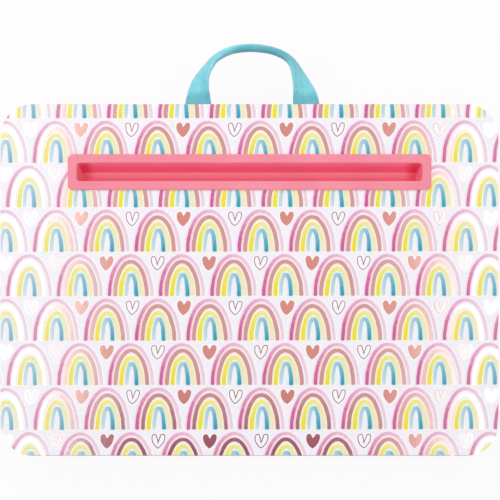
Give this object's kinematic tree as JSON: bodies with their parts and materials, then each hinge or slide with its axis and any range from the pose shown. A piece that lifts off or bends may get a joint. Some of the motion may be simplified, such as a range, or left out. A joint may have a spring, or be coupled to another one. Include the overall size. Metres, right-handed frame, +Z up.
{
  "type": "lap desk",
  "caption": "Flat lap desk: printed board with rounded corners, moulded tablet slot, fabric carry handle at the rear edge and a bead-filled plush cushion underneath.",
  "frame": {"origin": "centre of the cushion's flat resting face, under the centre of the board", "axes": "+X along the board's long side, +Y towards the carry handle, +Z up out of the work surface"},
  "size_m": [0.432, 0.3576, 0.0633],
  "materials": {
    "mdf": "matte",
    "printed_film": "satin",
    "edge_band": "satin",
    "backing_paper": "matte",
    "tray_plastic": "satin",
    "strap_fabric": "matte",
    "interlining": "matte",
    "staple_wire": "satin",
    "hot_melt": "satin",
    "plush": "matte",
    "liner_fabric": "matte",
    "bead_filling": "matte"
  },
  "bodies": {
    "root": {"top_board": "mdf", "printed_film": "printed_film", "edge_band": "edge_band", "backing_paper": "backing_paper", "slot_tray": "tray_plastic", "handle_end_left": "strap_fabric", "handle_end_right": "strap_fabric", "handle_staples": "staple_wire", "glue_lines": "hot_melt", "cushion_top_panel": "plush", "cushion_band_front": "plush", "cushion_band_rear": "plush", "cushion_bottom_panel": "plush", "liner_top_panel": "liner_fabric", "liner_bottom_panel": "liner_fabric", "bead_filling": "bead_filling"},
    "handle": {"handle_loop": "strap_fabric", "handle_interlining": "interlining"}
  },
  "joints": [
    {"name": "handle_swing", "type": "hinge", "parent": "root", "child": "handle", "pos_m": [0.0023, 0.1549, 0.054], "axis": [1, 0, 0], "range_deg": [-75, 90]}
  ]
}
